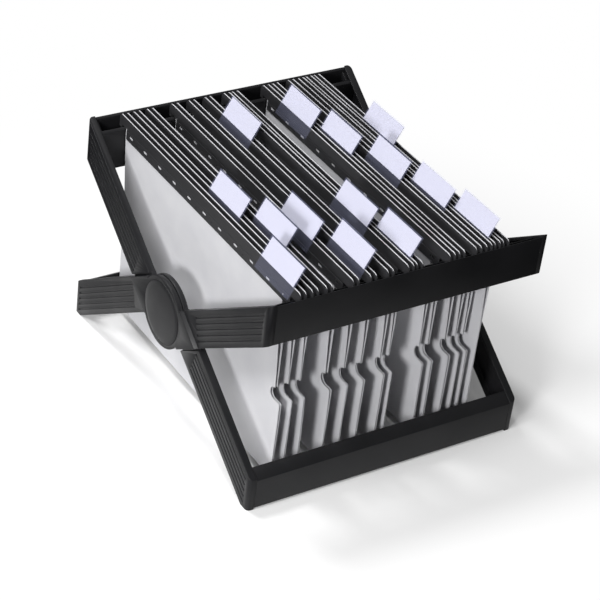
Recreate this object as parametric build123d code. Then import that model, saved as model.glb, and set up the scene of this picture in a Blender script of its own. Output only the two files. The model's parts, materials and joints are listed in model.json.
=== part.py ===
from build123d import *
import math
import os

# Folding X-frame desk stand with fourteen suspension files hanging in it.
# It is drawn with the origin at the middle of the pivot axis, +Z up, +Y along the
# pivot axis and +X towards the front, then raised to stand on Z = 0. The files hang
# along X. The left side is at -Y.
# Two frames cross like scissors. The outer frame runs from the rear foot up to the
# front rail, the inner frame is its mirror image in X. Sizes are in millimetres.

# ---- driving dimensions: the two frames ----
half_length = 180.0  # pivot to the outer faces of the top bars, along X
foot_half_length = 182.5  # pivot to the outer faces of the foot bars, along X
arm_half_width = 159.0  # middle to the outer faces of the arms, along Y
arm_tilt = 34.5  # slope of both frames, degrees
arm_depth = 37.8  # across an arm, square to its slope
side_depth = 8.0  # depth of a side tray, along Y
side_wall = 2.4  # flanges of the side trays
side_web = 2.4  # outer face of the side trays
corner_radius = 4.75  # rounded upright corners of the side plates
floor_level = -116.6  # underside of the feet
nest_gap = 0.4  # each frame stays this far from the line on which they nest
lap_gap = 2.0  # crease of one frame to the hub of the other
lap_ramp = 3.3  # length and rise of the ramp from an arm up to the outer hub

# ---- grooves on the outer face of each arm ----
groove_count = 5
groove_pitch = 5.8
groove_width = 1.8
groove_depth = 0.8
groove_start = 61.4  # middle groove to the pivot, along the slope
groove_start_slant = 0.3  # starts move outwards by this share of the distance across
groove_end_margin = 8.5  # from the upright end of the arm

# ---- hub layers, from the inner face of the side plates outwards ----
inner_hub_thickness = 5.2
hub_layer_gap = 1.0
outer_hub_thickness = 5.3

# ---- pivot ----
pin_radius = 5.0
pin_head_radius = 9.0
pin_head_thickness = 2.0
pin_tail = 1.0  # pin end beyond its retainer
pin_seat_clearance = 0.02  # pin in the outer plate and in its retainer
pin_running_clearance = 0.05  # pin in the inner plate and in the washer
head_clearance = 0.1
washer_radius = 16.0
washer_thickness = 0.8
retainer_radius = 8.5
retainer_thickness = 1.6
retainer_gap = 0.2
cap_radius = 33.3
cap_recess = 1.2
cap_rim_height = 1.5
cap_dome = 1.3
cap_clearance = 0.15

# ---- cross bars ----
bar_wall = 2.4
bar_drop = 1.5  # bars lie this far below the tops of the side plates
channel_width = 11.1  # between a hook rail and the outer wall of its bar, along X
rail_thickness = 3.0
foot_bar_depth = 12.0  # along X
foot_bar_rise = 2.0  # foot bars stand this far off the floor
end_web = 3.0  # closed end of a bar
tenon_clearance = 0.3

# ---- suspension files: rods ----
hook_tip_clearance = 1.6  # rod end to the outer wall of the channel
strip_height = 22.5
strip_outer_layer = 0.6  # outer side of the slot that grips the card
strip_inner_layer = 0.4
strip_end = 1.2  # solid end of a rod beyond the card slot
file_thickness = 7.8  # over both rods of one file
hook_clearance = 0.3  # hook above the rail
hook_notch_depth = 11.5  # from the seat down to the underside of the rod
hook_lip_width = 5.5
hook_lip_drop = 3.0  # lip below the top of the rail
hook_root_clearance = 3.5  # hook notch inside the rail, along X
hook_nose_radius = 5.0
hook_lip_radius = 1.5
band_height = 9.8  # thicker lower band of a rod
band_step = 0.3
slot_count = 11
slot_pitch = 30.0
slot_length = 7.0
slot_height = 2.6
slot_level = 5.9  # slot middle above the underside of the rod
dimple_radius = 1.0
dimple_depth = 0.4
dimple_level = 4.2  # above the underside of the rod

# ---- suspension files: cards ----
card_thickness = 0.6
card_above_strip = 0.6
card_bend_below_strip = 1.5
card_end_clearance = 0.3  # top band of the card to the solid ends of the rod
card_ear_clearance = 1.0  # top band above the hook seat
card_ear_radius = 3.8
card_rear_inset = 14.0  # rear edge to the rod end
card_upper_inset = 29.0  # upper front edge to the rod end
card_lower_inset = 19.5  # lower front edge to the rod end
card_shoulder_level = -17.5
card_bite_radius = 7.0
card_shoulder_radius = 1.5
card_bottom_level = -107.0
card_fold_height = 1.4
card_fold_width = 3.4
card_lean = 9.0  # bottom fold behind the near face, along Y
card_seam = 0.05  # far leaf above the bottom fold
last_card_inset = 17.0  # front edge of the last card to the rod end

# ---- suspension files: index tabs ----
tab_width = 59.5
tab_sheet = 0.5
tab_seat_gap = 0.3  # plate in front of the top edge of the near rod
tab_lean = 29.0  # degrees from upright
tab_label_height = 23.5  # along the plate
tab_fold_start = 0.4  # pocket fold above the top edge of the rod, along the plate
tab_flap_drop = 10.6
tab_flap_stand = 5.6  # lower edge of the flap in front of the rod, along Y
tab_label_thickness = 0.4
tab_label_clearance = 0.1
tab_label_margin = 1.5
lug_width = 5.0
lug_thickness = 1.2
lug_reach = 0.4  # lug tip into the slot, along Y

# Near face of each file, along Y, and the place of its tab, counted from the rear.
file_places = [-124.5, -111.2, -95.8, -66.7, -47.0, -27.6, -4.5, 5.4, 43.5, 54.7, 74.5, 86.9, 96.9, 106.9]
tab_places = [4, 2, 3, 3, 4, 0, 3, 4, 0, 1, 2, 3, 4, 1]

# ---- worked out from the driving dimensions ----
sine = math.sin(math.radians(arm_tilt))
cosine = math.cos(math.radians(arm_tilt))
side_inner_face = arm_half_width - side_depth
inner_hub_face = side_inner_face + inner_hub_thickness
outer_hub_back = inner_hub_face + hub_layer_gap
outer_hub_face = outer_hub_back + outer_hub_thickness
cap_seat = outer_hub_face - cap_recess
crease = arm_depth + lap_gap
foot_bar_bottom = floor_level + foot_bar_rise
channel_outer_face = half_length - bar_wall
rail_outer_face = channel_outer_face - channel_width
rail_inner_face = rail_outer_face - rail_thickness
tenon_inset = side_wall + tenon_clearance
tenon_radius = corner_radius - side_wall
tenon_reach = arm_half_width - side_web - tenon_clearance

# A line in the side view is (x factor, z factor, value): x factor * x + z factor * z = value.


def across_outer(value):
    """Line along the outer frame's slope, this far across it."""
    return (-sine, cosine, value)


def across_inner(value):
    """Line along the inner frame's slope, this far across it."""
    return (sine, cosine, value)


def upright(value):
    return (1.0, 0.0, value)


def level(value):
    return (0.0, 1.0, value)


def meeting(first, second):
    """Point where two lines of the side view cross."""
    determinant = first[0] * second[1] - first[1] * second[0]
    x = (first[2] * second[1] - first[1] * second[2]) / determinant
    z = (first[0] * second[2] - first[2] * second[0]) / determinant
    return (x, z)


def outline(*lines):
    """Corners of a shape bounded by these lines, taken in order round it."""
    return [meeting(lines[index - 1], lines[index]) for index in range(len(lines))]


def slab(corners, low, high):
    """Solid between two planes across Y, from its corners in the side view."""
    plane = Plane(origin=(0, high, 0), x_dir=(1, 0, 0), z_dir=(0, -1, 0))
    return extrude(plane * Polygon(*corners, align=None), amount=high - low, dir=(0, -1, 0))


def disc(radius, low, high):
    """Round solid on the pivot axis between two planes across Y."""
    plane = Plane(origin=(0, high, 0), x_dir=(1, 0, 0), z_dir=(0, -1, 0))
    return extrude(plane * Circle(radius), amount=high - low, dir=(0, -1, 0))


def round_end_corner(solid, x, y, radius):
    """Round the upright edge of a solid at this place."""
    edges = [
        edge
        for edge in solid.edges().filter_by(Axis.Z)
        if abs(edge.center().X - x) < 0.01 and abs(edge.center().Y - y) < 0.01
    ]
    return fillet(edges, radius)


def to_other_side(solid):
    return mirror(solid, about=Plane.XZ)


def to_inner_frame(solid):
    return mirror(solid, about=Plane.YZ)


# ---- side plates, drawn for the left side of the outer frame ----


def upper_arm_outline(inset, crease_value):
    return outline(
        across_outer(-nest_gap - inset),
        upright(half_length - inset),
        across_outer(-arm_depth + inset),
        across_inner(crease_value),
    )


def lower_arm_outline(inset, crease_value):
    return outline(
        across_outer(nest_gap + inset),
        level(floor_level + inset),
        upright(-foot_half_length + inset),
        across_outer(arm_depth - inset),
        across_inner(-crease_value),
    )


def arm(arm_outline, end_x):
    """One arm as a tray, open towards the middle, with its upright end at end_x."""
    inward = -math.copysign(side_wall, end_x)
    face = -arm_half_width
    rim = -side_inner_face
    floor = face + side_web
    body = slab(arm_outline(0, crease), face, rim)
    body = round_end_corner(body, end_x, face, corner_radius)
    hollow = slab(arm_outline(side_wall, crease + side_wall), floor, rim + side_wall)
    hollow = round_end_corner(hollow, end_x + inward, floor, tenon_radius)
    return body - hollow


def grooves(end_x):
    """Long grooves with round ends on the outer face of the arm that ends at end_x."""
    end = math.copysign(1, end_x)
    plane = Plane(origin=(0, -arm_half_width, 0), x_dir=(cosine, 0, sine), z_dir=(0, -1, 0))
    middle = -end * arm_depth / 2
    cuts = []
    for index in range(groove_count):
        offset = (index - (groove_count - 1) / 2) * groove_pitch
        across = middle + offset
        start = groove_start + groove_start_slant * end * offset
        end_along = (abs(end_x) - groove_end_margin + end * across * sine) / cosine
        length = end_along - start
        centre = end * (start + end_along) / 2
        slot = plane * Pos(centre, across) * SlotOverall(length, groove_width)
        cuts.append(extrude(slot, amount=groove_depth, dir=(0, 1, 0)))
    return cuts


def lap_arms(low, high, reach):
    """The two flat halves of a frame that cross the other frame at the hub."""
    front = outline(
        across_outer(-nest_gap),
        across_inner(reach),
        across_outer(-arm_depth),
        across_inner(0),
    )
    rear = [(-x, -z) for x, z in front]
    return slab(front, low, high) + slab(rear, low, high)


def ramp_edges(solid, face, reach):
    """Edges of the raised hub that run along the creases."""
    found = []
    for edge in solid.edges():
        centre = edge.center()
        across = abs(sine * centre.X + cosine * centre.Z)
        if abs(centre.Y - face) < 0.01 and abs(across - reach) < 0.01:
            found.append(edge)
    return found


def arm_pair():
    return arm(upper_arm_outline, half_length) + arm(lower_arm_outline, -foot_half_length)


def groove_pair():
    return grooves(half_length) + grooves(-foot_half_length)


def outer_side_plate():
    hub = lap_arms(-outer_hub_face, -outer_hub_back, crease)
    hub = chamfer(ramp_edges(hub, -outer_hub_face, crease), lap_ramp)
    hub += disc(arm_depth, -outer_hub_face, -outer_hub_back)
    base = lap_arms(-arm_half_width, -outer_hub_back, crease + side_wall)
    plate = arm_pair() + base + hub
    plate -= disc(cap_radius, -outer_hub_face, -cap_seat)
    plate -= disc(pin_head_radius + head_clearance, -cap_seat, -cap_seat + pin_head_thickness)
    plate -= disc(pin_radius + pin_seat_clearance, -outer_hub_face, -outer_hub_back)
    for cut in groove_pair():
        plate -= cut
    return plate


def inner_side_plate():
    """Drawn with the outer frame's slope, then mirrored to the inner frame."""
    reach = crease + side_wall
    plate = lap_arms(-inner_hub_face, -side_inner_face, reach)
    plate += disc(arm_depth, -inner_hub_face, -side_inner_face)
    plate += arm_pair()
    plate -= disc(pin_radius + pin_running_clearance, -inner_hub_face, -side_inner_face)
    for cut in groove_pair():
        plate -= cut
    return to_inner_frame(plate)


# ---- pivot parts, drawn for the left side ----


def pivot_pin():
    head_back = -cap_seat + pin_head_thickness
    tail = -side_inner_face + retainer_gap + retainer_thickness + pin_tail
    return disc(pin_head_radius, -cap_seat, head_back) + disc(pin_radius, head_back, tail)


def pivot_washer():
    middle = -(inner_hub_face + outer_hub_back) / 2
    low = middle - washer_thickness / 2
    high = middle + washer_thickness / 2
    return disc(washer_radius, low, high) - disc(pin_radius + pin_running_clearance, low, high)


def pin_retainer():
    low = -side_inner_face + retainer_gap
    high = low + retainer_thickness
    return disc(retainer_radius, low, high) - disc(pin_radius + pin_seat_clearance, low, high)


def hub_cap():
    """Slightly domed disc that sits in the recess of the outer plate."""
    rim = cap_radius - cap_clearance
    top = cap_rim_height + cap_dome
    sphere_radius = (rim**2 + cap_dome**2) / (2 * cap_dome)
    sweep = math.asin(rim / sphere_radius) / 2
    shoulder = (
        sphere_radius * math.sin(sweep),
        top - sphere_radius * (1 - math.cos(sweep)),
    )
    profile = make_face(
        Polyline((0, top), (0, 0), (rim, 0), (rim, cap_rim_height))
        + ThreePointArc((rim, cap_rim_height), shoulder, (0, top))
    )
    plane = Plane(origin=(0, -cap_seat, 0), x_dir=(1, 0, 0), z_dir=(0, 0, 1))
    turned = plane * mirror(profile, about=Plane.XZ)
    return revolve(turned, Axis.Y, 360)


# ---- cross bars of the outer frame ----


def bar_top(inset):
    """Sloped line along the top of the front bar and of its hook rail."""
    return across_outer(-nest_gap - bar_drop * cosine - inset)


def with_ends(body, web_corners, tenon_corners, tenon_x):
    """Close both ends of a bar and add the tenons that reach into the side trays."""
    for side in (-1, 1):
        web = sorted((side * side_inner_face, side * (side_inner_face - end_web)))
        body += slab(web_corners, *web)
        tenon = slab(tenon_corners, *sorted((side * side_inner_face, side * tenon_reach)))
        body += round_end_corner(tenon, tenon_x, side * tenon_reach, tenon_radius)
    return body


def front_top_bar():
    """Outer wall and sloped floor of the channel that takes the hook tips."""
    wall = outline(
        bar_top(0),
        upright(half_length),
        across_outer(-arm_depth),
        upright(channel_outer_face),
    )
    floor = outline(
        across_outer(-arm_depth + bar_wall),
        upright(half_length),
        across_outer(-arm_depth),
        upright(rail_inner_face),
    )
    bar = slab(wall, -side_inner_face, side_inner_face)
    bar += slab(floor, -side_inner_face, side_inner_face)
    web = outline(
        bar_top(bar_wall),
        upright(half_length - bar_wall / 2),
        across_outer(-arm_depth + bar_wall / 2),
        upright(rail_outer_face + tenon_clearance),
    )
    tenon = outline(
        bar_top(tenon_inset),
        upright(half_length - tenon_inset),
        across_outer(-arm_depth + tenon_inset),
        upright(rail_outer_face + tenon_clearance),
    )
    return with_ends(bar, web, tenon, half_length - tenon_inset)


def front_hook_rail():
    """Upright strip on the channel floor; the files hang on its top edge."""
    strip = outline(
        bar_top(0),
        upright(rail_outer_face),
        across_outer(-arm_depth + bar_wall),
        upright(rail_inner_face),
    )
    tenon = outline(
        bar_top(tenon_inset),
        upright(rail_outer_face),
        across_outer(-arm_depth + tenon_inset),
        upright(rail_inner_face),
    )
    rail = slab(strip, -side_inner_face, side_inner_face)
    for side in (-1, 1):
        rail += slab(tenon, *sorted((side * side_inner_face, side * tenon_reach)))
    return rail


def rear_foot_bar():
    """Upside-down channel with a sloped top, open at the bottom."""

    def section(inset, bottom):
        return outline(
            across_outer(arm_depth - bar_drop * cosine - inset),
            upright(-foot_half_length + foot_bar_depth - inset),
            level(bottom),
            upright(-foot_half_length + inset),
        )

    bar = slab(section(0, foot_bar_bottom), -side_inner_face, side_inner_face)
    bar -= slab(section(bar_wall, foot_bar_bottom - bar_wall), -side_inner_face, side_inner_face)
    tenon = section(tenon_inset, floor_level + tenon_inset)
    return with_ends(bar, section(0, foot_bar_bottom), tenon, -foot_half_length + tenon_inset)


# ---- suspension files ----

rail_top_level = meeting(bar_top(0), upright(rail_outer_face))[1]
hook_seat_level = rail_top_level + hook_clearance
strip_bottom = hook_seat_level - hook_notch_depth
strip_top = strip_bottom + strip_height
strip_half_length = channel_outer_face - hook_tip_clearance
strip_thickness = strip_outer_layer + card_thickness + strip_inner_layer
hook_root = rail_inner_face - hook_root_clearance
card_slot_half_length = strip_half_length - strip_end
card_ear_half_width = card_slot_half_length - card_end_clearance
card_rear_edge = card_rear_inset - strip_half_length
card_upper_edge = strip_half_length - card_upper_inset
card_lower_edge = strip_half_length - card_lower_inset
last_card_edge = strip_half_length - last_card_inset
card_top = strip_top + card_above_strip
lip_level = rail_top_level - hook_lip_drop
lip_inner = strip_half_length - hook_lip_width
band_top = strip_bottom + band_height
slot_middle = strip_bottom + slot_level
dimple_middle = strip_bottom + dimple_level
ear_bottom = hook_seat_level + card_ear_clearance


def row(count):
    """Places along X, one slot pitch apart and centred on the pivot."""
    return [(index - (count - 1) / 2) * slot_pitch for index in range(count)]


def between(first, second):
    """Middle and width of the space between two places."""
    return ((first + second) / 2, abs(second - first))


def file_rod(outer_face, inward):
    """Flat hooked rod that grips a card; slots and dimples run along its outer side."""
    inner_face = outer_face + inward * strip_thickness
    card_outer = outer_face + inward * strip_outer_layer
    card_inner = inner_face - inward * strip_inner_layer
    corners = [
        (strip_half_length, strip_top),
        (strip_half_length, lip_level),
        (lip_inner, lip_level),
        (lip_inner, hook_seat_level),
        (hook_root, hook_seat_level),
        (hook_root, strip_bottom),
    ]
    mirrored = [(-x, z) for x, z in reversed(corners)]
    face = Polygon(*corners, *mirrored, align=None)
    noses = [point for point in face.vertices() if abs(point.Y - strip_top) < 0.01]
    face = fillet(noses, hook_nose_radius)
    lips = [
        point
        for point in face.vertices()
        if abs(point.Y - lip_level) < 0.01 and abs(abs(point.X) - strip_half_length) < 0.01
    ]
    face = fillet(lips, hook_lip_radius)
    plane = Plane(origin=(0, outer_face, 0), x_dir=(1, 0, 0), z_dir=(0, -1, 0))
    rod = extrude(plane * face, amount=strip_thickness, dir=(0, inward, 0))
    middle, depth = between(card_outer, card_inner)
    card_slot = Box(2 * card_slot_half_length, depth, 2 * strip_height)
    rod -= Pos(0, middle, strip_top) * card_slot
    step = Box(2 * strip_half_length, 2 * band_step, strip_top - band_top)
    rod -= Pos(0, outer_face, (strip_top + band_top) / 2) * step
    depth = abs(card_outer - outer_face)
    for x in row(slot_count):
        opening = Plane(origin=(x, card_outer, slot_middle), x_dir=(1, 0, 0), z_dir=(0, -1, 0))
        slot = SlotOverall(slot_length, slot_height)
        rod -= extrude(opening * slot, amount=depth, dir=(0, -inward, 0))
    for x in row(slot_count - 1):
        dimple = Rot(90, 0, 0) * Cylinder(dimple_radius, 2 * dimple_depth)
        rod -= Pos(x, outer_face, dimple_middle) * dimple
    return rod


def panel(front_edge, bottom, top):
    """Rectangle from the rear edge of a card to a front edge, in its front view."""
    middle, width = between(card_rear_edge, front_edge)
    return Pos(middle, (bottom + top) / 2) * Rectangle(width, top - bottom)


def card_outline(last):
    """Front view of the card: wide band over the hooks, and a stepped, notched front edge."""
    band = Pos(0, (card_top + ear_bottom) / 2) * Rectangle(
        2 * card_ear_half_width, card_top - ear_bottom
    )
    ears = [point for point in band.vertices() if point.Y > ear_bottom + card_ear_clearance]
    band = fillet(ears, card_ear_radius)
    if last:
        return panel(last_card_edge, card_bottom_level, card_top) + band
    lower = panel(card_lower_edge, card_bottom_level, card_shoulder_level)
    corners = lower.vertices()
    shoulder = [point for point in corners if point.X > 0 and point.Y > card_bottom_level + 1]
    lower = fillet(shoulder, card_shoulder_radius)
    face = panel(card_upper_edge, card_bottom_level, card_top) + lower + band
    bite_level = card_shoulder_level + card_bite_radius
    return face - Pos(card_upper_edge, bite_level) * Circle(card_bite_radius)


def file_card(near_face, last):
    """Folded card: two leaves gripped in the rods, the near one with the bottom fold."""
    near = near_face + strip_outer_layer
    far = near_face + file_thickness - strip_outer_layer
    bend = strip_bottom - card_bend_below_strip
    fold_top = card_bottom_level + card_fold_height
    fold_near = near_face + card_lean - card_fold_width / 2
    fold_far = near_face + card_lean + card_fold_width / 2
    thick = card_thickness
    near_leaf = [
        (near, card_top),
        (near, bend),
        (fold_near, fold_top),
        (fold_near + thick, card_bottom_level),
        (fold_far - thick, card_bottom_level),
        (fold_far, fold_top),
        (fold_far - thick, fold_top),
        (fold_far - 2 * thick, card_bottom_level + thick),
        (fold_near + 2 * thick, card_bottom_level + thick),
        (fold_near + thick, fold_top),
        (near + thick, bend),
        (near + thick, card_top),
    ]
    far_leaf = [
        (fold_far, fold_top + card_seam),
        (far, bend),
        (far, card_top),
        (far - thick, card_top),
        (far - thick, bend),
        (fold_far - thick, fold_top + card_seam),
    ]
    view = Plane(origin=(0, fold_far + card_lean, 0), x_dir=(1, 0, 0), z_dir=(0, -1, 0))
    depth = fold_far - near + 2 * card_lean
    front_view = extrude(view * card_outline(last), amount=depth, dir=(0, -1, 0))
    width = 2 * card_ear_half_width
    leaves = [across_x(section, 0, width) & front_view for section in (near_leaf, far_leaf)]
    return Compound([leaf.solid() for leaf in leaves])


def across_x(corners, middle, width):
    """Solid of constant section along X, from its corners (y, z)."""
    plane = Plane(origin=(middle - width / 2, 0, 0), x_dir=(0, 1, 0), z_dir=(1, 0, 0))
    return extrude(plane * Polygon(*corners, align=None), amount=width, dir=(1, 0, 0))


def file_tab(near_face, place, gap):
    """Leaning index tab with its paper label; the flap fits the gap in front of the rod."""
    lug_slots = [row(slot_count)[2 * place + 1], row(slot_count)[2 * place + 2]]
    x = lug_slots[0] + slot_pitch / 2
    seat = near_face - tab_seat_gap
    lug_tip = near_face + lug_reach
    lean_sine = math.sin(math.radians(tab_lean))
    lean_cosine = math.cos(math.radians(tab_lean))

    def on_plate(along, out):
        y = seat + along * lean_sine - out * lean_cosine
        z = strip_top + along * lean_cosine + out * lean_sine
        return (y, z)

    inside = tab_label_thickness + 2 * tab_label_clearance
    front = 2 * tab_sheet + inside
    floor = tab_fold_start + tab_sheet
    stand = min(tab_flap_stand, (gap - tab_sheet) / 2)
    flap_bottom = strip_top - tab_flap_drop
    flap_back = seat - stand
    section = [
        (flap_back, flap_bottom),
        on_plate(0, 0),
        on_plate(tab_label_height, 0),
        on_plate(tab_label_height, tab_sheet),
        on_plate(floor, tab_sheet),
        on_plate(floor, tab_sheet + inside),
        on_plate(tab_label_height, tab_sheet + inside),
        on_plate(tab_label_height, front),
        on_plate(tab_fold_start, front),
        on_plate(tab_fold_start, tab_sheet),
        on_plate(0, tab_sheet),
        (flap_back - tab_sheet, flap_bottom),
    ]
    holder = across_x(section, x, tab_width)
    for slot in lug_slots:
        lug = [
            (flap_back - tab_sheet, flap_bottom),
            (seat, slot_middle - lug_thickness / 2),
            (lug_tip, slot_middle - lug_thickness / 2),
            (lug_tip, slot_middle + lug_thickness / 2),
            (seat, slot_middle + lug_thickness / 2),
            (flap_back, flap_bottom),
        ]
        holder += across_x(lug, slot, lug_width)
    label_back = tab_sheet + tab_label_clearance
    label_bottom = floor + tab_label_clearance
    label_top = tab_label_height - tab_label_margin
    label = [
        on_plate(label_bottom, label_back),
        on_plate(label_top, label_back),
        on_plate(label_top, label_back + tab_label_thickness),
        on_plate(label_bottom, label_back + tab_label_thickness),
    ]
    paper = across_x(label, x, tab_width - 2 * tab_label_margin)
    return Compound([holder.solid(), paper.solid()])


# ---- nodes ----

nodes = {}

for side_name, place_side in (("left", lambda solid: solid), ("right", to_other_side)):
    nodes[f"outer_side_{side_name}"] = place_side(outer_side_plate())
    nodes[f"inner_side_{side_name}"] = place_side(inner_side_plate())
    nodes[f"pivot_pin_{side_name}"] = place_side(pivot_pin())
    nodes[f"pivot_washer_{side_name}"] = place_side(pivot_washer())
    nodes[f"pin_retainer_{side_name}"] = place_side(pin_retainer())
    nodes[f"hub_cap_{side_name}"] = place_side(hub_cap())

nodes["outer_front_top_bar"] = front_top_bar()
nodes["outer_front_hook_rail"] = front_hook_rail()
nodes["outer_rear_foot_bar"] = rear_foot_bar()
nodes["inner_rear_top_bar"] = to_inner_frame(front_top_bar())
nodes["inner_rear_hook_rail"] = to_inner_frame(front_hook_rail())
nodes["inner_front_foot_bar"] = to_inner_frame(rear_foot_bar())

behind = -side_inner_face
for number, (near_face, place) in enumerate(zip(file_places, tab_places), start=1):
    name = f"file_{number:02d}"
    last = number == len(file_places)
    near_rod = file_rod(near_face, 1)
    far_rod = file_rod(near_face + file_thickness, -1)
    gap = near_face - tab_seat_gap - behind
    nodes[f"{name}_card"] = file_card(near_face, last)
    nodes[f"{name}_rods"] = Compound([near_rod.solid(), far_rod.solid()])
    nodes[f"{name}_tab"] = file_tab(near_face, place, gap)
    behind = near_face + file_thickness

os.makedirs("parts", exist_ok=True)
for name, solid in nodes.items():
    export_step(Pos(0, 0, -floor_level) * solid, f"parts/{name}.step")
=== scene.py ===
import json
import math

import bmesh
import bpy
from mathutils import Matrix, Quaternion, Vector, noise


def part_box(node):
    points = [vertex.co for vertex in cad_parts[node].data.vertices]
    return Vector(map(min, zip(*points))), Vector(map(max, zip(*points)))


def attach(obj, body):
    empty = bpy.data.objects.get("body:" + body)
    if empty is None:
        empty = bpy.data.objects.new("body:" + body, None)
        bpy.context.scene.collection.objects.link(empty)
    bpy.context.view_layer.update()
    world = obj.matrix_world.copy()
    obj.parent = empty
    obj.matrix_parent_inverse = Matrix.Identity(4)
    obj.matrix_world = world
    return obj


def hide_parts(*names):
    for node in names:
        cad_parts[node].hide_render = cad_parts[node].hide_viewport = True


bl_info = {
    "name": "Folding file stand",
    "version": (1, 0, 0),
    "blender": (4, 5, 0),
    "location": "View3D > Sidebar > File stand",
    "description": "Dresses a folding X-frame stand with suspension files and index tabs",
    "category": "Object",
}

# Axes: +Z up with the floor at 0, +X to the front, +Y along the pivot. Lengths in metres.
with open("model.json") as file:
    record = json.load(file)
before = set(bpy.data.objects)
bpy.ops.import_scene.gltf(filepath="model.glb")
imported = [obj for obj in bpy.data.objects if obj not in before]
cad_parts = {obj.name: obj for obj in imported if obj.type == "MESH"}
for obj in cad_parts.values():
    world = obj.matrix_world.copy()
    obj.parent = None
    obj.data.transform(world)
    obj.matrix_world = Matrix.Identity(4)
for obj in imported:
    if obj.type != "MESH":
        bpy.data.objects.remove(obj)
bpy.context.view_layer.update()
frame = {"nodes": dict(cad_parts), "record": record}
nodes = frame["nodes"]
bodies = frame["record"]["behaviour"]["bodies"]

MM = 0.001
FILE_COUNT = sum(1 for body in bodies if body.startswith("file_"))
HUB_LEVEL = sum(corner.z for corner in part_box("hub_cap_left")) / 2

WHITE = "#ffffff"
NOISE_LOW, NOISE_HIGH = 0.3, 0.7  # the range in which nearly all of a noise value lies
SAME_POINT = 0.001 * MM
CUT_TOLERANCE = 0.01 * MM
FLAT_ANGLE = math.radians(0.5)
HARD_ANGLE = math.radians(35)

# Heights on a leaf are shares of the way from the rod down to the fold.
CLOSING_START = 0.12
CLOSING_LENGTH = 0.4
BOW_FADE = 0.7  # below 1 the bow stays full for longer between the rod and the fold
BOW_STRETCH = 0.6  # bows are longer down a leaf than across it
REAR_SLACK, FRONT_SLACK = 0.5, 0.5  # the bow everywhere, and what the front edge adds
FILE_SEED_STEP, LEAF_SEED_STEP = 0.7, 0.4

FLOOR_HALF_SIZE = 12.0
FLOOR_FADE_START = 0.12
LAMPS = (
    # setting, diameter, place
    ("key", 0.8, (0.3, -1.5, 2.1)),
    ("fill", 0.6, (1.3, -2.1, 1.0)),
    ("top", 0.5, (-0.8, -0.45, 2.2)),
)
SENSOR_WIDTH = 36.0
CAMERA_REACH = 100.0
DEFAULT_CAMERA_AIM = (11.3 * MM, -4.9 * MM, 96.3 * MM)


# ---- shared helpers ----


def linear(hex_colour):
    """sRGB hex text to a linear colour with alpha."""
    channels = [int(hex_colour[start : start + 2], 16) / 255 for start in (1, 3, 5)]
    lit = [c / 12.92 if c <= 0.04045 else ((c + 0.055) / 1.055) ** 2.4 for c in channels]
    return (*lit, 1.0)


def per_metre(millimetres):
    """Texture scale that gives features of this size on Object coordinates."""
    return 1 / (millimetres * MM)


def add_node(tree, kind, settings=None, inputs=None):
    """Add a node, set its settings, and set or link its inputs."""
    node = tree.nodes.new(kind)
    for name, value in (settings or {}).items():
        setattr(node, name, value)
    for name, value in (inputs or {}).items():
        if isinstance(value, bpy.types.NodeSocket):
            tree.links.new(value, node.inputs[name])
        else:
            node.inputs[name].default_value = value
    return node


def new_material(name):
    """An empty material with its tree, its surface shader and its Object coordinates."""
    material = bpy.data.materials.new(name)
    material.use_nodes = True
    tree = material.node_tree
    tree.nodes.clear()
    output = add_node(tree, "ShaderNodeOutputMaterial")
    shader = add_node(tree, "ShaderNodeBsdfPrincipled")
    tree.links.new(shader.outputs["BSDF"], output.inputs["Surface"])
    place = add_node(tree, "ShaderNodeTexCoord").outputs["Object"]
    return material, tree, shader, place


def noise_value(tree, place, millimetres, detail):
    """Noise with features of this size."""
    node = add_node(
        tree,
        "ShaderNodeTexNoise",
        {},
        {"Vector": place, "Scale": per_metre(millimetres), "Detail": detail},
    )
    return node.outputs["Fac"]


def spread(tree, value, low, high):
    """Node output that maps a noise value to a range."""
    node = add_node(
        tree,
        "ShaderNodeMapRange",
        {},
        {
            "Value": value,
            "From Min": NOISE_LOW,
            "From Max": NOISE_HIGH,
            "To Min": low,
            "To Max": high,
        },
    )
    return node.outputs["Result"]


def set_colour(tree, shader, value, first, second):
    """Let the base colour drift between two sRGB hex colours with a noise value."""
    colour = add_node(
        tree,
        "ShaderNodeMix",
        {"data_type": "RGBA"},
        {"Factor": spread(tree, value, 0.0, 1.0), "A": linear(first), "B": linear(second)},
    )
    tree.links.new(colour.outputs["Result"], shader.inputs["Base Color"])


def set_roughness(tree, shader, value, low, high):
    """Let the roughness drift in a range with a noise value."""
    tree.links.new(spread(tree, value, low, high), shader.inputs["Roughness"])


def set_relief(tree, shader, value, strength, depth):
    """Raise the surface by a noise value."""
    bump = add_node(
        tree,
        "ShaderNodeBump",
        {},
        {"Height": value, "Strength": strength, "Distance": depth},
    )
    tree.links.new(bump.outputs["Normal"], shader.inputs["Normal"])


def merged_copy(node_name):
    """A CAD node's mesh in a bmesh, with its loose triangles joined into flat faces."""
    shape = bmesh.new()
    shape.from_mesh(nodes[node_name].data)
    bmesh.ops.remove_doubles(shape, verts=shape.verts, dist=SAME_POINT)
    bmesh.ops.dissolve_limit(shape, angle_limit=FLAT_ANGLE, verts=shape.verts, edges=shape.edges)
    return shape


def islands(shape):
    """Separate shells of a bmesh, each as a list of its faces."""
    left = set(shape.faces)
    found = []
    while left:
        first = left.pop()
        group = [first]
        queue = [first]
        while queue:
            face = queue.pop()
            for edge in face.edges:
                for neighbour in edge.link_faces:
                    if neighbour in left:
                        left.remove(neighbour)
                        group.append(neighbour)
                        queue.append(neighbour)
        found.append(group)
    return found


def object_from(shape, name, material):
    """A new scene object from a bmesh."""
    mesh = bpy.data.meshes.new(name)
    shape.to_mesh(mesh)
    shape.free()
    piece = bpy.data.objects.new(name, mesh)
    bpy.context.scene.collection.objects.link(piece)
    mesh.materials.append(material)
    return piece


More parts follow.
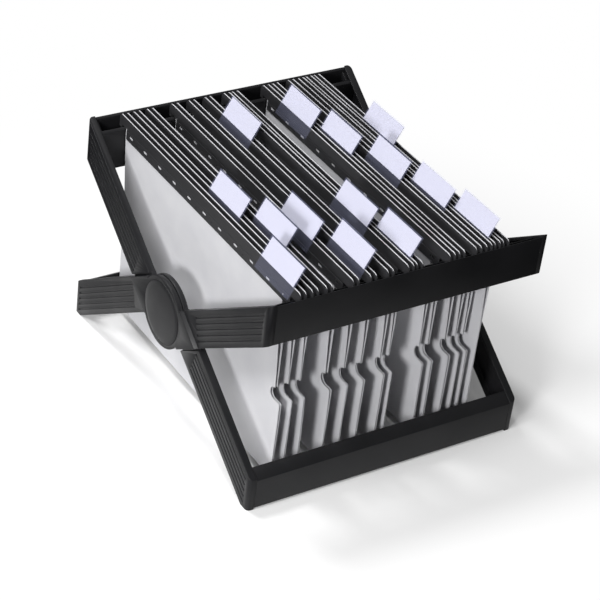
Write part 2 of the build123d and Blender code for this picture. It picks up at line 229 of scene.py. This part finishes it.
def soften(piece, width, segments=2):
    """Round the hard edges and shade the piece smooth."""
    for polygon in piece.data.polygons:
        polygon.use_smooth = True
    bevel = piece.modifiers.new("edges", "BEVEL")
    bevel.width = width
    bevel.segments = segments
    bevel.limit_method = "ANGLE"
    bevel.angle_limit = HARD_ANGLE
    bevel.use_clamp_overlap = False
    bevel.harden_normals = True


def dress(node_name, material):
    """Give a carried-over CAD node its material."""
    slots = nodes[node_name].data.materials
    slots.clear()
    slots.append(material)


# ---- materials ----


def moulded_polystyrene(finish):
    """Charcoal high-impact polystyrene, moulded in a spark-eroded tool.

    The grain breaks the highlights up into a soft satin; handling leaves faint wipes.
    """
    material, tree, shader, place = new_material("moulded_polystyrene")
    grain = noise_value(tree, place, finish.grain, 3.0)
    wipes = noise_value(tree, place, 45, 5.0)
    set_colour(tree, shader, wipes, finish.plastic, finish.plastic_worn)
    set_roughness(tree, shader, wipes, 0.36, 0.5)
    set_relief(tree, shader, grain, 0.35, 0.05 * MM)
    shader.inputs["Specular IOR Level"].default_value = 0.3
    return material


def extruded_rod(finish):
    """Slate PVC strip, extruded along its length, so faint die lines run along X."""
    material, tree, shader, place = new_material("extruded_pvc")
    stretch = add_node(
        tree, "ShaderNodeMapping", {}, {"Vector": place, "Scale": (0.01, 1.0, 1.0)}
    )
    lines = noise_value(tree, stretch.outputs["Vector"], 1.2, 2.0)
    set_colour(tree, shader, lines, finish.rod, finish.rod_streak)
    set_roughness(tree, shader, lines, 0.38, 0.5)
    set_relief(tree, shader, lines, 0.2, 0.05 * MM)
    shader.inputs["IOR"].default_value = 1.53
    return material


def coated_card(finish):
    """Pale calendered board: matt, with short fibres and a faint cloudy formation."""
    material, tree, shader, place = new_material("coated_card")
    fibres = noise_value(tree, place, 1.5, 4.0)
    clouds = noise_value(tree, place, 30, 3.0)
    set_colour(tree, shader, clouds, finish.card, finish.card_cloud)
    set_roughness(tree, shader, fibres, 0.62, 0.74)
    set_relief(tree, shader, fibres, 0.15, 0.05 * MM)
    return material


def label_paper(finish):
    """Pale uncoated paper insert, faintly blue."""
    material, tree, shader, place = new_material("label_paper")
    fibres = noise_value(tree, place, 0.8, 3.0)
    set_colour(tree, shader, fibres, finish.label, finish.label_fibre)
    set_roughness(tree, shader, fibres, 0.7, 0.85)
    return material


def clear_film(finish):
    """Clear calendered PVC sheet, faintly blue, with fine scuffs that dull the gloss."""
    material, tree, shader, place = new_material("clear_pvc_film")
    scuffs = noise_value(tree, place, 4, 5.0)
    set_colour(tree, shader, scuffs, finish.film, finish.film_scuff)
    set_roughness(tree, shader, scuffs, 0.12, 0.3)
    shader.inputs["IOR"].default_value = 1.5
    shader.inputs["Alpha"].default_value = finish.film_cover
    return material


def turned_steel():
    """Zinc-plated steel pin, turned on a lathe, so fine rings run round its axis."""
    material, tree, shader, place = new_material("turned_steel")
    centred = add_node(
        tree,
        "ShaderNodeMapping",
        {"vector_type": "TEXTURE"},
        {"Vector": place, "Location": (0, 0, HUB_LEVEL)},
    )
    rings = add_node(
        tree,
        "ShaderNodeTexWave",
        {"wave_type": "RINGS", "rings_direction": "Y"},
        {"Vector": centred.outputs["Vector"], "Scale": per_metre(4), "Distortion": 0.4},
    ).outputs["Fac"]
    set_roughness(tree, shader, rings, 0.28, 0.36)
    set_relief(tree, shader, rings, 0.2, 0.02 * MM)
    shader.inputs["Base Color"].default_value = linear("#c4c4c2")
    shader.inputs["Metallic"].default_value = 1.0
    return material


def natural_nylon():
    """Off-white nylon washer, slightly waxy."""
    material, tree, shader, place = new_material("natural_nylon")
    haze = noise_value(tree, place, 3, 2.0)
    set_colour(tree, shader, haze, "#e6e2d6", "#dcd7c8")
    shader.inputs["Roughness"].default_value = 0.45
    shader.inputs["IOR"].default_value = 1.53
    return material


# ---- settings ----


class FrameFinish(bpy.types.PropertyGroup):
    """The two folding frames."""

    plastic: bpy.props.StringProperty(
        name="Plastic", description="Frame colour, sRGB hex", default="#151517"
    )
    plastic_worn: bpy.props.StringProperty(
        name="Handled plastic",
        description="Frame colour where it is wiped, sRGB hex",
        default="#19191b",
    )
    grain: bpy.props.FloatProperty(
        name="Grain",
        description="Moulded grain in millimetres, coarse enough to show",
        default=0.9,
        min=0.1,
    )
    edge: bpy.props.FloatProperty(
        name="Edge", description="Rounding of hard edges", default=0.4 * MM, unit="LENGTH"
    )


class FileFinish(bpy.types.PropertyGroup):
    """Rods and cards of the files."""

    rod: bpy.props.StringProperty(name="Rod", description="Rod colour, sRGB hex", default="#262628")
    rod_streak: bpy.props.StringProperty(
        name="Rod streak", description="Rod colour in its die lines, sRGB hex", default="#2e2e30"
    )
    card: bpy.props.StringProperty(
        name="Card", description="Card colour, sRGB hex", default="#c8c8cb"
    )
    card_cloud: bpy.props.StringProperty(
        name="Card clouds", description="Card colour in its clouds, sRGB hex", default="#c2c2c6"
    )
    wave: bpy.props.FloatProperty(
        name="Wave", description="How far a leaf bows at most", default=3.0 * MM, unit="LENGTH"
    )
    wave_length: bpy.props.FloatProperty(
        name="Wave length", description="Width of one bow", default=90 * MM, unit="LENGTH"
    )
    closed: bpy.props.FloatProperty(
        name="Closed",
        description="Share of its thickness a file keeps at the fold",
        default=0.4,
        min=0.0,
        max=1.0,
    )
    step: bpy.props.FloatProperty(
        name="Step",
        description="Distance between the cuts across a leaf",
        default=12 * MM,
        unit="LENGTH",
    )


class TabFinish(bpy.types.PropertyGroup):
    """Index tabs and their labels."""

    film: bpy.props.StringProperty(
        name="Film", description="Film tint, sRGB hex", default="#a6abd2"
    )
    film_scuff: bpy.props.StringProperty(
        name="Film scuffs", description="Film tint in its scuffs, sRGB hex", default="#b4b8da"
    )
    film_cover: bpy.props.FloatProperty(
        name="Film cover", description="How much the film hides", default=0.04, min=0.0, max=1.0
    )
    label: bpy.props.StringProperty(
        name="Label", description="Label colour, sRGB hex", default="#b9b9c6"
    )
    label_fibre: bpy.props.StringProperty(
        name="Label fibres", description="Label colour in its fibres, sRGB hex", default="#b4b4c2"
    )


class StageSetup(bpy.types.PropertyGroup):
    """Floor, lamps and camera."""

    floor: bpy.props.StringProperty(
        name="Floor", description="Floor colour, sRGB hex", default="#e6e6e6"
    )
    fade: bpy.props.FloatProperty(
        name="Fade", description="Where the floor has faded to white", default=0.58, unit="LENGTH"
    )
    sky: bpy.props.FloatProperty(
        name="Sky", description="Strength of the even light", default=0.19, min=0.0
    )
    key: bpy.props.FloatProperty(
        name="Key lamp", description="Key lamp in watts", default=38.0, min=0.0
    )
    fill: bpy.props.FloatProperty(
        name="Fill lamp", description="Fill lamp in watts", default=48.0, min=0.0
    )
    top: bpy.props.FloatProperty(
        name="Top lamp", description="Top lamp in watts", default=32.0, min=0.0
    )
    azimuth: bpy.props.FloatProperty(
        name="Azimuth",
        description="Camera direction round the stand",
        default=math.radians(53.95),
        subtype="ANGLE",
    )
    elevation: bpy.props.FloatProperty(
        name="Elevation",
        description="Camera height angle",
        default=math.radians(34.4),
        subtype="ANGLE",
    )
    roll: bpy.props.FloatProperty(
        name="Roll",
        description="Camera turn about its own axis",
        default=math.radians(7.66),
        subtype="ANGLE",
    )
    distance: bpy.props.FloatProperty(
        name="Distance", description="Camera to its aim", default=2203.3 * MM, unit="LENGTH"
    )
    lens: bpy.props.FloatProperty(
        name="Lens", description="Focal length in millimetres on a 36 mm sensor", default=129.0
    )
    aim: bpy.props.FloatVectorProperty(
        name="Aim",
        description="Point at the middle of the view",
        default=DEFAULT_CAMERA_AIM,
        subtype="TRANSLATION",
    )


# ---- operators ----


class DressFrame(bpy.types.Operator):
    """Soften the moulded frame parts and give them their plastic"""

    bl_idname = "file_stand.dress_frame"
    bl_label = "Frame"

    def execute(self, context):
        finish = context.scene.frame_finish
        plastic = moulded_polystyrene(finish)
        for body in ("outer_frame", "inner_frame"):
            for node_name in bodies[body]:
                if not node_name.startswith(("outer_", "inner_", "hub_cap")):
                    continue
                piece = object_from(merged_copy(node_name), node_name + "_moulding", plastic)
                soften(piece, finish.edge)
                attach(piece, body)
                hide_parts(node_name)
        return {"FINISHED"}


class DressPivots(bpy.types.Operator):
    """Give pins, retainers and washers their metal and nylon"""

    bl_idname = "file_stand.dress_pivots"
    bl_label = "Pivots"

    def execute(self, context):
        steel = turned_steel()
        nylon = natural_nylon()
        for node_name in nodes:
            if node_name.startswith(("pivot_pin", "pin_retainer")):
                dress(node_name, steel)
            if node_name.startswith("pivot_washer"):
                dress(node_name, nylon)
        return {"FINISHED"}


class DressRods(bpy.types.Operator):
    """Give the hooked rods their extruded plastic"""

    bl_idname = "file_stand.dress_rods"
    bl_label = "Rods"

    def execute(self, context):
        strip = extruded_rod(context.scene.file_finish)
        for node_name in nodes:
            if node_name.endswith("_rods"):
                dress(node_name, strip)
        return {"FINISHED"}


class MakeCards(bpy.types.Operator):
    """Cut each card into short steps and let its leaves close and bow"""

    bl_idname = "file_stand.make_cards"
    bl_label = "Cards"

    def execute(self, context):
        finish = context.scene.file_finish
        board = coated_card(finish)
        for number in range(1, FILE_COUNT + 1):
            body = f"file_{number:02d}"
            node_name = body + "_card"
            low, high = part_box(node_name)
            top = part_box(body + "_rods")[0].z
            shape = merged_copy(node_name)
            self.cut(shape, finish.step, low, high)
            leaves = sorted(
                islands(shape), key=lambda faces: min(v.co.y for f in faces for v in f.verts)
            )
            self.close(shape, finish.closed, top, low, high)
            for side, faces in enumerate(leaves):
                seed = Vector((0, number * FILE_SEED_STEP + side * LEAF_SEED_STEP, 0))
                self.bow(faces, finish, top, low.z, high.x, seed)
            piece = object_from(shape, node_name + "_leaves", board)
            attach(piece, body)
            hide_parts(node_name)
        return {"FINISHED"}

    def cut(self, shape, step, low, high):
        """Cut a card across and down, so that it can bend."""
        for axis in (0, 2):
            normal = Vector((axis == 0, 0, axis == 2))
            cuts = math.floor((high[axis] - low[axis]) / step)
            for index in range(1, cuts):
                bmesh.ops.bisect_plane(
                    shape,
                    geom=shape.verts[:] + shape.edges[:] + shape.faces[:],
                    plane_co=low.lerp(high, index / cuts),
                    plane_no=normal,
                    dist=CUT_TOLERANCE,
                )

    def close(self, shape, closed, top, low, high):
        """Let the two leaves hang together below their slack upper part, as they do over a fold."""
        middle = low.lerp(high, 0.5).y
        for vertex in shape.verts:
            height = (top - vertex.co.z) / (top - low.z)
            share = min(1.0, max(0.0, height - CLOSING_START) / CLOSING_LENGTH)
            share = share * share * (3 - 2 * share)
            vertex.co.y = middle + (vertex.co.y - middle) * (1 - (1 - closed) * share)

    def bow(self, faces, finish, top, bottom, front, seed):
        """Bow one leaf, most at its free front edge; it stays put in the rod and at the fold."""
        for vertex in {vertex for face in faces for vertex in face.verts}:
            height = (top - vertex.co.z) / (top - bottom)
            if height <= 0:
                continue
            fade = math.sin(math.pi * min(1.0, height)) ** BOW_FADE
            where = Vector((vertex.co.x, 0, vertex.co.z * BOW_STRETCH)) / finish.wave_length
            slack = REAR_SLACK + FRONT_SLACK * max(0.0, vertex.co.x / front) ** 2
            vertex.co.y += finish.wave * fade * slack * noise.noise(where + seed)


class MakeTabs(bpy.types.Operator):
    """Make the clear holders and their paper labels"""

    bl_idname = "file_stand.make_tabs"
    bl_label = "Tabs"

    def execute(self, context):
        finish = context.scene.tab_finish
        film = clear_film(finish)
        paper = label_paper(finish)
        for number in range(1, FILE_COUNT + 1):
            body = f"file_{number:02d}"
            node_name = body + "_tab"
            for part, material in (("holder", film), ("label", paper)):
                shape = merged_copy(node_name)
                label_faces = set(min(islands(shape), key=len))
                drop = [f for f in shape.faces if (f in label_faces) == (part == "holder")]
                bmesh.ops.delete(shape, geom=drop, context="FACES")
                piece = object_from(shape, f"{node_name}_{part}", material)
                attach(piece, body)
                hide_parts(node_name)
        return {"FINISHED"}


class SetStage(bpy.types.Operator):
    """Set the floor, the even light, the lamps and the camera"""

    bl_idname = "file_stand.set_stage"
    bl_label = "Stage"

    def execute(self, context):
        setup = context.scene.stage_setup
        scene = context.scene
        self.make_floor(setup)
        self.make_light(scene, setup)
        for name, size, place in LAMPS:
            self.add_lamp(scene, name + "_lamp", getattr(setup, name), size, place)
        self.make_camera(scene, setup)
        scene.view_settings.view_transform = "Standard"
        return {"FINISHED"}

    def make_floor(self, setup):
        """Floor that takes the shadows near the stand and fades to plain white further out."""
        shape = bmesh.new()
        bmesh.ops.create_grid(shape, x_segments=1, y_segments=1, size=FLOOR_HALF_SIZE)
        material = bpy.data.materials.new("studio_floor")
        material.use_nodes = True
        tree = material.node_tree
        tree.nodes.clear()
        output = add_node(tree, "ShaderNodeOutputMaterial")
        path = add_node(tree, "ShaderNodeLightPath")
        paint = add_node(tree, "ShaderNodeBsdfDiffuse", {}, {"Color": linear(setup.floor)})
        lift = add_node(
            tree,
            "ShaderNodeEmission",
            {},
            {"Color": linear(WHITE), "Strength": path.outputs["Is Camera Ray"]},
        )
        place = add_node(tree, "ShaderNodeTexCoord").outputs["Object"]
        reach = add_node(tree, "ShaderNodeVectorMath", {"operation": "LENGTH"}, {0: place})
        fade = add_node(
            tree,
            "ShaderNodeMapRange",
            {"interpolation_type": "SMOOTHSTEP"},
            {"Value": reach.outputs["Value"], "From Min": FLOOR_FADE_START, "From Max": setup.fade},
        )
        share = add_node(
            tree,
            "ShaderNodeMixShader",
            {},
            {0: fade.outputs["Result"], 1: paint.outputs["BSDF"], 2: lift.outputs["Emission"]},
        )
        tree.links.new(share.outputs["Shader"], output.inputs["Surface"])
        floor = object_from(shape, "studio_floor", material)

    def make_light(self, scene, setup):
        """Even light all round, which the camera and the clear film see as plain white."""
        world = bpy.data.worlds.new("studio_light")
        scene.world = world
        world.use_nodes = True
        tree = world.node_tree
        tree.nodes.clear()
        output = add_node(tree, "ShaderNodeOutputWorld")
        path = add_node(tree, "ShaderNodeLightPath")
        seen = add_node(
            tree,
            "ShaderNodeMath",
            {"operation": "MAXIMUM"},
            {0: path.outputs["Is Camera Ray"], 1: path.outputs["Is Transmission Ray"]},
        )
        colour = linear(WHITE)
        even, white = (
            add_node(tree, "ShaderNodeBackground", {}, {"Color": colour, "Strength": strength})
            for strength in (setup.sky, 1.0)
        )
        both = add_node(
            tree,
            "ShaderNodeMixShader",
            {},
            {
                0: seen.outputs["Value"],
                1: even.outputs["Background"],
                2: white.outputs["Background"],
            },
        )
        tree.links.new(both.outputs["Shader"], output.inputs["Surface"])

    def add_lamp(self, scene, name, watts, size, place):
        """Round soft lamp that points at the middle of the floor."""
        lamp = bpy.data.lights.new(name, "AREA")
        lamp.shape = "DISK"
        lamp.size = size
        lamp.energy = watts
        holder = bpy.data.objects.new(name, lamp)
        scene.collection.objects.link(holder)
        holder.location = place
        holder.rotation_mode = "QUATERNION"
        holder.rotation_quaternion = (-holder.location).to_track_quat("-Z", "Y")

    def make_camera(self, scene, setup):
        """Camera on a sphere round its aim."""
        lens = bpy.data.cameras.new("camera")
        lens.sensor_width = SENSOR_WIDTH
        lens.lens = setup.lens
        lens.clip_end = CAMERA_REACH
        camera = bpy.data.objects.new("camera", lens)
        scene.collection.objects.link(camera)
        flat = math.cos(setup.elevation)
        back = Vector(
            (
                math.sin(setup.azimuth) * flat,
                -math.cos(setup.azimuth) * flat,
                math.sin(setup.elevation),
            )
        )
        camera.location = Vector(setup.aim) + back * setup.distance
        camera.rotation_mode = "QUATERNION"
        look = (-back).to_track_quat("-Z", "Y")
        camera.rotation_quaternion = look @ Quaternion((0, 0, 1), setup.roll)
        scene.camera = camera


OPERATORS = (DressFrame, DressPivots, DressRods, MakeCards, MakeTabs, SetStage)
GROUPS = {
    "frame_finish": FrameFinish,
    "file_finish": FileFinish,
    "tab_finish": TabFinish,
    "stage_setup": StageSetup,
}


class FileStandPanel(bpy.types.Panel):
    """Steps and settings of the file stand"""

    bl_idname = "VIEW3D_PT_file_stand"
    bl_label = "File stand"
    bl_space_type = "VIEW_3D"
    bl_region_type = "UI"
    bl_category = "File stand"

    def draw(self, context):
        for group_name, group in GROUPS.items():
            box = self.layout.box()
            settings = getattr(context.scene, group_name)
            for setting in group.__annotations__:
                box.prop(settings, setting)
        for operator in OPERATORS:
            self.layout.operator(operator.bl_idname)


def register():
    for item in (*GROUPS.values(), *OPERATORS, FileStandPanel):
        bpy.utils.register_class(item)
    for group_name, group in GROUPS.items():
        setattr(bpy.types.Scene, group_name, bpy.props.PointerProperty(type=group))


def unregister():
    for group_name in GROUPS:
        delattr(bpy.types.Scene, group_name)
    for item in (FileStandPanel, *reversed(OPERATORS), *reversed(GROUPS.values())):
        bpy.utils.unregister_class(item)


def main():
    register()
    for operator in OPERATORS:
        category, name = operator.bl_idname.split(".")
        getattr(getattr(bpy.ops, category), name)()


if __name__ == "__main__":
    main()
